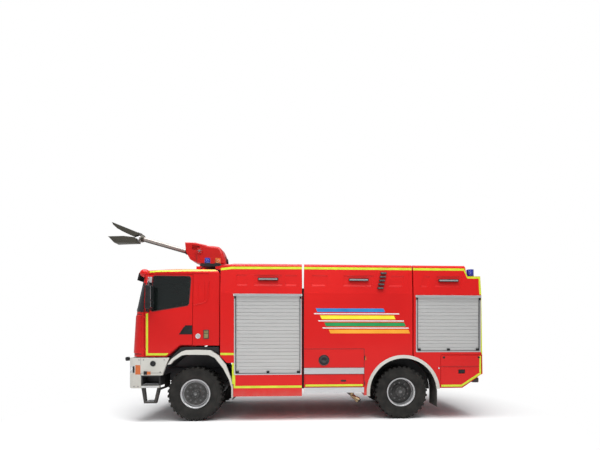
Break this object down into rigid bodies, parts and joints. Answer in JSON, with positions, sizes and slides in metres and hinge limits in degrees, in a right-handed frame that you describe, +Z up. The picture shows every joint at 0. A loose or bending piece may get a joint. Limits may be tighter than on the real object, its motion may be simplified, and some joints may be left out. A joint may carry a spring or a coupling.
{
  "type": "airport fire truck",
  "caption": "Airport fire truck with hollow cab, modular body, slatted shutters, lugged tyres, a roof monitor and a bumper monitor.",
  "frame": {"origin": "on the ground, under the centre of the whole outline", "axes": "+X towards the front, +Y towards the left side, +Z up"},
  "size_m": [8.3625, 2.96, 4.3797],
  "materials": {
    "red_paint": "gloss",
    "cream_paint": "gloss",
    "aluminium": "satin",
    "blade_metal": "satin",
    "shutter_aluminium": "satin",
    "black_plastic": "matte",
    "black_paint": "satin",
    "chassis_paint": "satin",
    "engine_iron": "matte",
    "spring_steel": "satin",
    "rim_paint": "satin",
    "tyre_rubber": "matte",
    "cab_glass": "gloss",
    "clear_lens": "gloss",
    "amber_lens": "gloss",
    "blue_lens": "gloss",
    "red_lens": "gloss",
    "coupling_brass": "satin",
    "seat_fabric": "matte",
    "dash_plastic": "matte",
    "monitor_paint": "gloss"
  },
  "bodies": {
    "chassis": {"aluminium_trim": "aluminium", "amber_lamps": "amber_lens", "arch_liners": "black_plastic", "arch_trims": "cream_paint", "beacon_wings": "black_paint", "blue_beacons": "blue_lens", "body_front": "red_paint", "body_middle": "red_paint", "body_rear": "red_paint", "bumper": "cream_paint", "bumper_monitor_post": "black_paint", "cab_shell": "red_paint", "dashboard": "dash_plastic", "entry_steps": "black_paint", "frame_rails": "chassis_paint", "cross_members": "chassis_paint", "cab_mounts": "chassis_paint", "rear_underrun": "chassis_paint", "skirts_front": "red_paint", "front_axle": "chassis_paint", "grille": "black_plastic", "headlamps": "clear_lens", "hose_coupling": "coupling_brass", "leaf_springs": "spring_steel", "monitor_bracket": "red_paint", "powertrain": "engine_iron", "rear_axle": "chassis_paint", "rear_lamps": "red_lens", "seats": "seat_fabric", "shutters": "shutter_aluminium", "side_fittings": "black_plastic", "sun_visor": "black_plastic", "windscreen": "cab_glass"},
    "knuckle_left": {"knuckle_left": "chassis_paint"},
    "knuckle_right": {"knuckle_right": "chassis_paint"},
    "wheel_front_left": {"tyre_front_left": "tyre_rubber", "rim_front_left": "rim_paint"},
    "wheel_front_right": {"tyre_front_right": "tyre_rubber", "rim_front_right": "rim_paint"},
    "wheel_rear_left": {"tyre_rear_left": "tyre_rubber", "rim_rear_left": "rim_paint"},
    "wheel_rear_right": {"tyre_rear_right": "tyre_rubber", "rim_rear_right": "rim_paint"},
    "cab_door_left": {"door_left": "red_paint", "door_glass_left": "cab_glass", "door_fittings_left": "black_plastic"},
    "cab_door_right": {"door_right": "red_paint", "door_glass_right": "cab_glass", "door_fittings_right": "black_plastic"},
    "step_flap_left": {"flap_middle_left": "red_paint"},
    "step_flap_right": {"flap_middle_right": "red_paint"},
    "rear_flap_left": {"flap_rear_left": "red_paint"},
    "rear_flap_right": {"flap_rear_right": "red_paint"},
    "turret": {"monitor_turret": "monitor_paint"},
    "head": {"monitor_head": "monitor_paint", "monitor_barrel": "aluminium"},
    "upper_blade": {"blade_upper": "blade_metal"},
    "lower_blade": {"blade_lower": "blade_metal"},
    "bumper_swivel": {"bumper_monitor_swivel": "black_paint"},
    "bumper_nozzle": {"bumper_monitor_nozzle": "black_paint"}
  },
  "joints": [
    {"name": "steer_left", "type": "hinge", "parent": "chassis", "child": "knuckle_left", "pos_m": [1.926, 0.87, 0.56], "axis": [0, 0, 1], "range_deg": [-35, 35]},
    {"name": "steer_right", "type": "hinge", "parent": "chassis", "child": "knuckle_right", "pos_m": [1.926, -0.87, 0.56], "axis": [0, 0, 1], "range_deg": [-35, 35]},
    {"name": "spin_front_left", "type": "hinge", "parent": "knuckle_left", "child": "wheel_front_left", "pos_m": [1.926, 1.025, 0.56], "axis": [0, 1, 0], "continuous": true},
    {"name": "spin_front_right", "type": "hinge", "parent": "knuckle_right", "child": "wheel_front_right", "pos_m": [1.926, -1.025, 0.56], "axis": [0, 1, 0], "continuous": true},
    {"name": "spin_rear_left", "type": "hinge", "parent": "chassis", "child": "wheel_rear_left", "pos_m": [-2.374, 1.025, 0.56], "axis": [0, 1, 0], "continuous": true},
    {"name": "spin_rear_right", "type": "hinge", "parent": "chassis", "child": "wheel_rear_right", "pos_m": [-2.374, -1.025, 0.56], "axis": [0, 1, 0], "continuous": true},
    {"name": "door_left_hinge", "type": "hinge", "parent": "chassis", "child": "cab_door_left", "pos_m": [2.917, 1.203, 1.8], "axis": [0, 0, -1], "range_deg": [0, 65]},
    {"name": "door_right_hinge", "type": "hinge", "parent": "chassis", "child": "cab_door_right", "pos_m": [2.917, -1.203, 1.8], "axis": [0, 0, 1], "range_deg": [0, 65]},
    {"name": "step_flap_left_hinge", "type": "hinge", "parent": "chassis", "child": "step_flap_left", "pos_m": [-0.94, 1.238, 0.704], "axis": [-1, 0, 0], "range_deg": [0, 90]},
    {"name": "step_flap_right_hinge", "type": "hinge", "parent": "chassis", "child": "step_flap_right", "pos_m": [-0.94, -1.238, 0.704], "axis": [1, 0, 0], "range_deg": [0, 90]},
    {"name": "rear_flap_left_hinge", "type": "hinge", "parent": "chassis", "child": "rear_flap_left", "pos_m": [-3.639, 1.238, 1.338], "axis": [1, 0, 0], "range_deg": [0, 90]},
    {"name": "rear_flap_right_hinge", "type": "hinge", "parent": "chassis", "child": "rear_flap_right", "pos_m": [-3.639, -1.238, 1.338], "axis": [-1, 0, 0], "range_deg": [0, 90]},
    {"name": "monitor_turn", "type": "hinge", "parent": "chassis", "child": "turret", "pos_m": [1.843, 0, 3.41], "axis": [0, 0, 1], "range_deg": [-170, 170]},
    {"name": "monitor_tilt", "type": "hinge", "parent": "turret", "child": "head", "pos_m": [2.076, 0, 3.7], "axis": [0, -1, 0], "range_deg": [-15, 60]},
    {"name": "blade_upper_hinge", "type": "hinge", "parent": "head", "child": "upper_blade", "pos_m": [3.48844, 0, 4.1219], "axis": [0, 1, 0], "range_deg": [0, 10]},
    {"name": "blade_lower_hinge", "type": "hinge", "parent": "head", "child": "lower_blade", "pos_m": [3.53362, 0, 3.96009], "axis": [0, -1, 0], "range_deg": [0, 13]},
    {"name": "bumper_turn", "type": "hinge", "parent": "chassis", "child": "bumper_swivel", "pos_m": [3.332, 0, 1.18], "axis": [0, 0, 1], "range_deg": [-60, 60]},
    {"name": "bumper_tilt", "type": "hinge", "parent": "bumper_swivel", "child": "bumper_nozzle", "pos_m": [3.332, 0, 1.258], "axis": [0, -1, 0], "range_deg": [-15, 45]}
  ],
  "couplings": [
    {"joint": "steer_right", "follows": "steer_left", "ratio": 1},
    {"joint": "blade_lower_hinge", "follows": "blade_upper_hinge", "ratio": 1.3}
  ]
}
